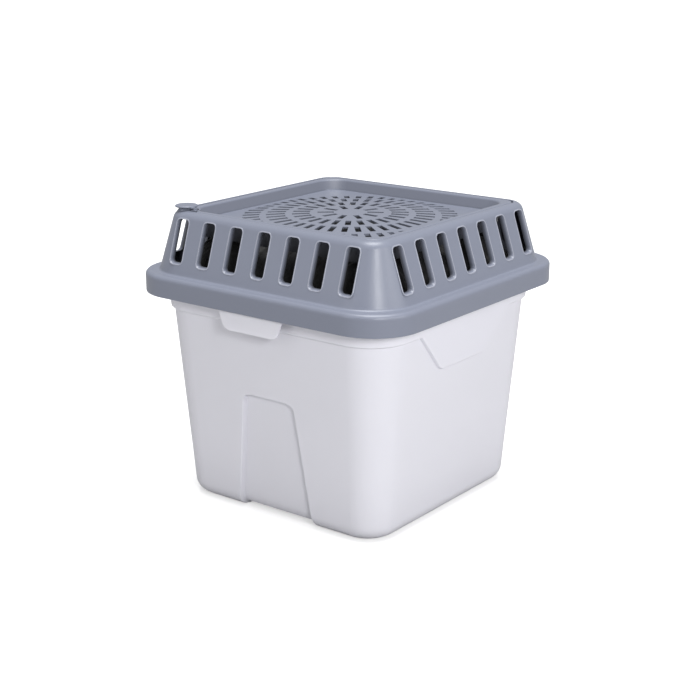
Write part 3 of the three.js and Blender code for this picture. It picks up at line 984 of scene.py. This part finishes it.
def makeGrilleTray():
    rim, skirt, dish, crown = (trayShape[part] for part in ("rim", "skirt", "dish", "crown"))
    edgeZ = crownHeight(crown["flatFrom"])
    floorHalf = dish["half"] - 0.8
    loops = [floorLoop(floorHalf * share, dish["corner"] * share, 0.0)
             for share in (0.04, 0.14, 0.26, 0.38, 0.5, 0.62, 0.74, 0.86, 0.94)]
    loops.append(floorLoop(floorHalf - 0.6, dish["corner"] - 0.6, 0.0))
    top = rim["top"]
    wallSections = [
        (dish["half"] - 0.35, dish["corner"] - 0.3, edgeZ + 0.25),
        (dish["half"], dish["corner"], edgeZ + 0.9),
        (dish["half"] + 0.25, dish["corner"] + 0.15, edgeZ + 2.0),
        (dish["topHalf"] - 0.25, dish["topCorner"] - 0.15, top - 1.9),
        (dish["topHalf"] + 0.15, dish["topCorner"] + 0.1, top - 1.0),
        (dish["topHalf"] + 0.75, dish["topCorner"] + 0.3, top - 0.35),
        (dish["topHalf"] + 1.6, dish["topCorner"] - 0.4, top),
        (rim["half"] - 1.5, rim["corner"] - 1.3, top),
        (rim["half"] - 0.7, rim["corner"] - 0.6, top - 0.2),
        (rim["half"] - 0.18, rim["corner"] - 0.15, top - 0.7),
        (rim["half"], rim["corner"], top - 1.4),
        (rim["half"], rim["corner"], rim["bottom"]),
        (skirt["topHalf"], skirt["topCorner"], rim["bottom"]),
        (skirt["half"], skirt["corner"], skirt["bottom"]),
        (skirt["half"] - 2.0, skirt["corner"] - 2.0, skirt["bottom"]),
    ]
    underZ = edgeZ - crown["thickness"]
    share = (underZ - skirt["bottom"]) / (rim["bottom"] - skirt["bottom"])
    underHalf = between(skirt["half"], skirt["topHalf"], share) - 2.0
    wallSections.append((underHalf, dish["corner"] + 1.0, underZ))
    loops += [squareLoop(half, corner, z, flatCount=8) for half, corner, z in wallSections]
    loops += [floorLoop(underHalf * share, dish["corner"] * share, crown["thickness"])
              for share in (0.97, 0.86, 0.74, 0.62, 0.5, 0.38, 0.26, 0.14, 0.04)]
    piece = shellFromLoops("grilleTray", loops, lidGrey)

    field = shellFromLoops("fieldTool", [
        squareLoop(trayShape["grilleHalf"], trayShape["grilleCorner"], z) for z in (240.0, 262.0)], lidGrey)
    values = {"Slot Width": trayShape["slotWidth"] * mm, "Field": field, "Material": lidGrey}
    for index, (inner, outer, count) in enumerate(trayShape["rings"]):
        values |= {f"Inner {index}": inner * mm, f"Outer {index}": outer * mm, f"Count {index}": count}
    runTree(piece, grilleTree(), values)
    bpy.data.objects.remove(field)

    # a scallop and a notch let the tray lift past the plug and its strap
    at = (spoutShape["x"], spoutShape["y"])
    clear = trayShape["clearance"]
    guard = lathe("guard", [(0, skirt["bottom"]), (clear + 1.6, skirt["bottom"]),
                            (clear + 1.6, top - 0.4), (0, top - 0.4)], at, lidGrey)
    limitSections = [(skirt["half"], skirt["corner"], skirt["bottom"]),
                     (skirt["topHalf"], skirt["topCorner"], rim["bottom"]),
                     (rim["half"], rim["corner"], rim["bottom"] + 0.01),
                     (rim["half"], rim["corner"], top)]
    limit = shellFromLoops("guardLimit", [squareLoop(*section) for section in limitSections], lidGrey)
    combine(guard, [limit], "INTERSECT")
    combine(piece, [guard], "UNION")
    scallop = lathe("scallop", [(0, 230.0), (clear, 230.0), (clear, 265.0), (0, 265.0)], at, lidGrey)
    notch = block("notch", (-112.0, -112.0, 250.0), (-85.6, -101.7, 265.0), lidGrey)
    combine(piece, [scallop, notch], "DIFFERENCE")
    # painted shade on the dish's wall, down the slots and on the underside
    markPoints(piece, "deep", trayPaintedShade)
    finishHard(piece, lidGrey)
    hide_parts("grille_tray")
    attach(piece, "tray")
    return piece


grilleTray = makeGrilleTray()
print("grille tray", len(grilleTray.data.polygons), "faces")


plugShape = {
    "profile": [(0, 257.0), (2.4, 257.0), (3.0, 257.5), (3.9, 260.8), (3.9, 261.6), (4.3, 261.85),
                (9.0, 261.85), (9.5, 262.0), (9.85, 262.3), (9.98, 262.7), (9.9, 263.1), (9.6, 263.45),
                (9.1, 263.65), (8.5, 263.7), (7.9, 263.62), (7.4, 263.5), (0, 263.5)],
    "tongue": ((-95.5, -106.0, 261.85), (-88.8, -102.2, 263.1)),
    "foot": ((-90.8, -106.0, 259.9), (-86.4, -102.2, 260.7)),
    "post": ((-88.4, -106.0, 260.0), (-87.1, -102.2, 262.2)),
}


def makePourPlug():
    at = (spoutShape["x"], spoutShape["y"])
    piece = lathe("pourPlug", plugShape["profile"], at, lidGrey, steps=64)
    tongue = block("tongue", *plugShape["tongue"], lidGrey, bevel=0.3)
    combine(piece, [tongue], "UNION")
    finishHard(piece, lidGrey)
    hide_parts("pour_plug")
    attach(piece, "plug")
    return piece


def makePlugTether():
    piece = block("plugTether", *plugShape["foot"], lidGrey, bevel=0.25)
    post = block("tetherPost", *plugShape["post"], lidGrey, bevel=0.25)
    combine(piece, [post], "UNION")
    finishHard(piece, lidGrey)
    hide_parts("plug_tether")
    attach(piece, "lid")
    return piece


pourPlug = makePourPlug()
plugTether = makePlugTether()
print("plug and tether ready")


basketShape = {
    "seat": 177.3,
    "rim": (120.6, 35.0, 2.0),          # half, corner, thickness
    "bottom": (70.0, 100.0, 22.0),      # z, half, corner
    "top": (177.8, 116.8, 33.0),
    "wall": 1.8,
    "drain": {"columns": 2, "rows": 11, "length": 74.0, "width": 5.0, "pitch": 15.0, "gap": 8.0,
              "height": 70.5},
}


def basketSection(z, grow=0.0):
    return taperAt(basketShape["bottom"], basketShape["top"], z, grow)


def drainTree():
    tree, net, wires = startTree("basketDrains", [
        ("Columns", "NodeSocketInt"), ("Rows", "NodeSocketInt"), ("Length", "NodeSocketFloat"),
        ("Width", "NodeSocketFloat"), ("Row Pitch", "NodeSocketFloat"), ("Column Pitch", "NodeSocketFloat"),
        ("Height", "NodeSocketFloat"), ("Material", "NodeSocketMaterial")])
    grid = net.add("GeometryNodeMeshGrid", {}, {
        "Size X": (wires["Columns"] - 1.0) * wires["Column Pitch"],
        "Size Y": (wires["Rows"] - 1.0) * wires["Row Pitch"],
        "Vertices X": wires["Columns"], "Vertices Y": wires["Rows"]})
    size = net.add("ShaderNodeCombineXYZ", {}, {"X": wires["Length"], "Y": wires["Width"], "Z": 11 * mm})
    bar = net.add("GeometryNodeMeshCube", {}, {"Size": size})
    lift = net.add("ShaderNodeCombineXYZ", {}, {"Z": wires["Height"]})
    placed = net.add("GeometryNodeTransform", {}, {"Geometry": bar, "Translation": lift})
    bars = net.add("GeometryNodeRealizeInstances", {}, {
        "Geometry": net.add("GeometryNodeInstanceOnPoints", {}, {"Points": grid, "Instance": placed})})
    cut = net.add("GeometryNodeMeshBoolean", {"operation": "DIFFERENCE", "solver": "MANIFOLD"}, {
        "Mesh 1": wires["Geometry"], "Mesh 2": bars})
    endTree(net, cut, wires["Material"])
    return tree


def makeBasket():
    rimHalf, rimCorner, rimThickness = basketShape["rim"]
    seat, wall, bottom = basketShape["seat"], basketShape["wall"], basketShape["bottom"][0]
    top = seat + rimThickness
    sections = [(*basketSection(bottom, -3.0), bottom), (*basketSection(bottom, -0.9), bottom + 0.9),
                (*basketSection(bottom + 3.0), bottom + 3.0), (*basketSection(seat), seat),
                (rimHalf - 0.4, rimCorner - 0.4, seat), (rimHalf, rimCorner, seat + 0.4),
                (rimHalf, rimCorner, top - 0.4), (rimHalf - 0.4, rimCorner - 0.4, top),
                (*basketSection(top, -wall + 0.6), top), (*basketSection(top - 0.6, -wall), top - 0.6),
                (*basketSection(bottom + wall + 2.0, -wall), bottom + wall + 2.0),
                (*basketSection(bottom + wall, -wall - 2.0), bottom + wall)]
    loops = [squareLoop(half, corner, z) for half, corner, z in sections]
    piece = shellFromLoops("strainerBasket", loops, basketBlack)
    drain = basketShape["drain"]
    runTree(piece, drainTree(), {
        "Columns": drain["columns"], "Rows": drain["rows"], "Length": drain["length"] * mm,
        "Width": drain["width"] * mm, "Row Pitch": drain["pitch"] * mm,
        "Column Pitch": (drain["length"] + drain["gap"]) * mm,
        "Height": drain["height"] * mm, "Material": basketBlack})
    finishHard(piece, basketBlack)
    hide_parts("strainer_basket")
    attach(piece, "base")
    return piece


basket = makeBasket()
print("strainer basket", len(basket.data.polygons), "faces")


bagShape = {
    "levels": [(72.8, 88.0, 24.0), (80.0, 96.0, 24.0), (125.0, 102.5, 27.0), (176.0, 110.0, 30.0),
               (205.0, 112.0, 32.0), (220.0, 107.0, 31.0), (230.0, 98.0, 30.0), (236.5, 82.0, 30.0)],
    "inset": 1.5,
    "voxel": 5.0,
    "folds": 2.4,
    "foldSize": 30.0,
    "pressure": 4.0,
    "frames": 20,
    "cap": 5.0,
    "creases": 2.6,
    "creaseSize": 9.0,
    "lean": 0.62,
}


def foldField(point, size):
    # ridges that fan out upwards from the bag's front corner, from -1 to 1
    along = (112.0 - point.x) + (point.y + 112.0) - bagShape["lean"] * point.z
    place = Vector((along / size, point.z / (size * 5.0), 0.37 * size))
    return 1.0 - 2.0 * min(1.0, 1.9 * abs(noise.noise(place)))


def pleat(mesh, size, depth):
    mesh.update()
    normals = [vert.normal.copy() for vert in mesh.vertices]
    for vert, normal in zip(mesh.vertices, normals):
        vert.co += normal * (foldField(vert.co / mm, size) - 0.7) * depth * 0.5 * mm
    mesh.update()


def makeBag():
    inset = bagShape["inset"]
    sections = [(half - inset, corner, z) for z, half, corner in bagShape["levels"]]
    loops = [squareLoop(half, corner, z, flatCount=10) for half, corner, z in sections]
    piece = shellFromLoops("desiccantBag", loops, bagBlack)
    step = piece.modifiers.new("evenSkin", "REMESH")
    step.mode = "VOXEL"
    step.voxel_size = bagShape["voxel"] * mm
    settle(piece)
    pleat(piece.data, bagShape["foldSize"], bagShape["folds"])
    rest = [vert.co.copy() for vert in piece.data.vertices]
    cloth = piece.modifiers.new("cloth", "CLOTH")
    cloth.settings.quality = 5
    cloth.settings.use_pressure = True
    cloth.settings.uniform_pressure_force = bagShape["pressure"]
    cloth.settings.tension_stiffness = 12
    cloth.settings.compression_stiffness = 12
    cloth.settings.bending_stiffness = 0.3
    cloth.settings.effector_weights.gravity = 0
    cloth.settings.shrink_min = -0.04
    cloth.collision_settings.use_self_collision = False
    cloth.point_cache.frame_end = bagShape["frames"]
    for number in range(1, bagShape["frames"] + 1):
        scene.frame_set(number)
    settle(piece)
    scene.frame_set(1)
    cap = bagShape["cap"] * mm
    for vert, start in zip(piece.data.vertices, rest):
        move = vert.co - start
        if move.length > cap:
            vert.co = start + move * (cap / move.length)
    finer = piece.modifiers.new("finer", "SUBSURF")
    finer.levels = 1
    finer.render_levels = 1
    settle(piece)
    pleat(piece.data, bagShape["creaseSize"], bagShape["creases"])
    low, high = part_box("desiccant_bag")
    for vert in piece.data.vertices:
        for axis in range(3):
            vert.co[axis] = max(low[axis], min(high[axis], vert.co[axis]))
    for face in piece.data.polygons:
        face.use_smooth = True
    piece.data.materials.clear()
    piece.data.materials.append(bagBlack)
    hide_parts("desiccant_bag")
    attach(piece, "base")
    return piece


bag = makeBag()
print("desiccant bag", len(bag.data.polygons), "faces")


def makeFloor():
    material, net = startMaterial("paleFloor")
    place = net.add("ShaderNodeTexCoord", {}, {}, 3)
    cloud = noiseOn(net, place, 0.6, 2.0)
    seen = net.add("ShaderNodeBsdfPrincipled", {}, {
        "Base Color": mixColour(net, cloud, (0.60, 0.60, 0.602, 1), (0.61, 0.61, 0.61, 1)),
        "Roughness": 0.8,
        "Emission Color": (1.0, 1.0, 1.0, 1),
        "Emission Strength": 0.5,
    })
    bounce = net.add("ShaderNodeBsdfDiffuse", {}, {"Color": (0.42, 0.42, 0.42, 1)})
    direct = net.add("ShaderNodeLightPath")     # the floor looks white but throws little light back up
    mixed = net.add("ShaderNodeMixShader", {}, {0: direct, 1: bounce, 2: seen})
    net.add("ShaderNodeOutputMaterial", {}, {"Surface": mixed})
    reach = studio["floorSize"] / 2
    mesh = bpy.data.meshes.new("floor")
    mesh.from_pydata([(-reach, -reach, 0), (reach, -reach, 0), (reach, reach, 0), (-reach, reach, 0)], [],
                     [(0, 1, 2, 3)])
    floor = meshObject("floor", mesh, material)


makeFloor()
placeCamera()
lightStudio()
print("studio ready")
